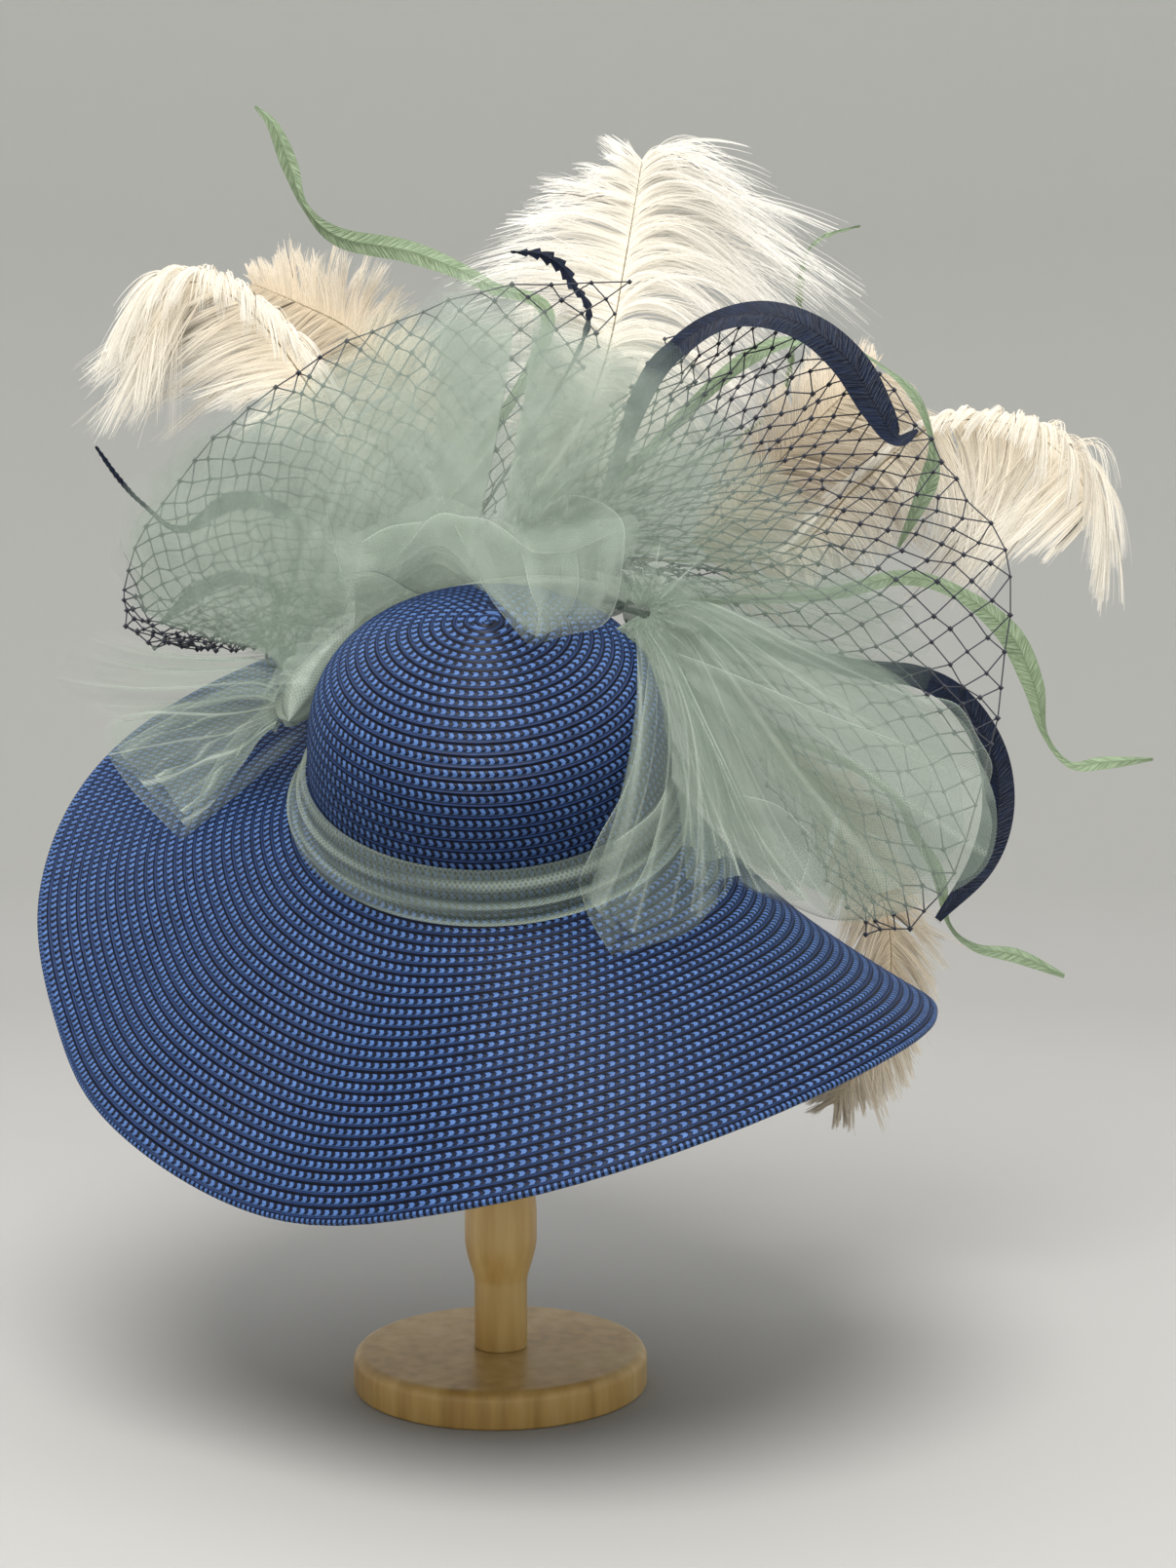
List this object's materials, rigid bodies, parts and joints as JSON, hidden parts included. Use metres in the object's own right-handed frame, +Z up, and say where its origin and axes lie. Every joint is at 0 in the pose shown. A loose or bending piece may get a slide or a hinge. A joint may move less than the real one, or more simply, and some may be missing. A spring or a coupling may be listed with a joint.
{
  "type": "race day hat on a stand",
  "caption": "Wide-brimmed sewn-braid straw hat with gathered tulle, netting, plumes and curled quills, resting tilted on a turned wooden stand.",
  "frame": {"origin": "centre of the stand's underside", "axes": "+Z up, -Y towards the front of the hat as worn, +X to the wearer's left"},
  "size_m": [0.5987, 0.4452, 0.6798],
  "materials": {
    "wood": "turned pale wood, lightly varnished",
    "straw": "sewn navy-blue braid, slightly glossy",
    "tulle": "sheer sage green tulle",
    "net": "matt dark netting with knots",
    "plume": "soft cream barbs",
    "green_quill": "stripped and curled quill, satin",
    "navy_quill": "stripped and curled quill, satin"
  },
  "bodies": {
    "root": {"stand_base": "wood", "stand_post": "wood", "stand_head": "wood", "crown": "straw", "brim": "straw", "hat_band": "tulle", "tulle_gather": "tulle", "tulle_knot": "tulle", "tulle_pouf": "tulle", "tulle_cloud_left": "tulle", "tulle_cloud_right": "tulle", "tulle_fan_right": "tulle", "tulle_tail_front": "tulle", "tulle_tail_left": "tulle", "tulle_wing_left": "tulle", "veil_left": "net", "veil_right": "net", "plume_top": "plume", "plume_left": "plume", "plume_left_back": "plume", "plume_right": "plume", "plume_inner": "plume", "plume_lower": "plume", "quill_green_1": "green_quill", "quill_green_2": "green_quill", "quill_green_3": "green_quill", "quill_green_4": "green_quill", "quill_green_5": "green_quill", "quill_navy_1": "navy_quill", "quill_navy_2": "navy_quill", "quill_navy_3": "navy_quill", "quill_navy_4": "navy_quill", "quill_navy_5": "navy_quill"}
  },
  "joints": []
}
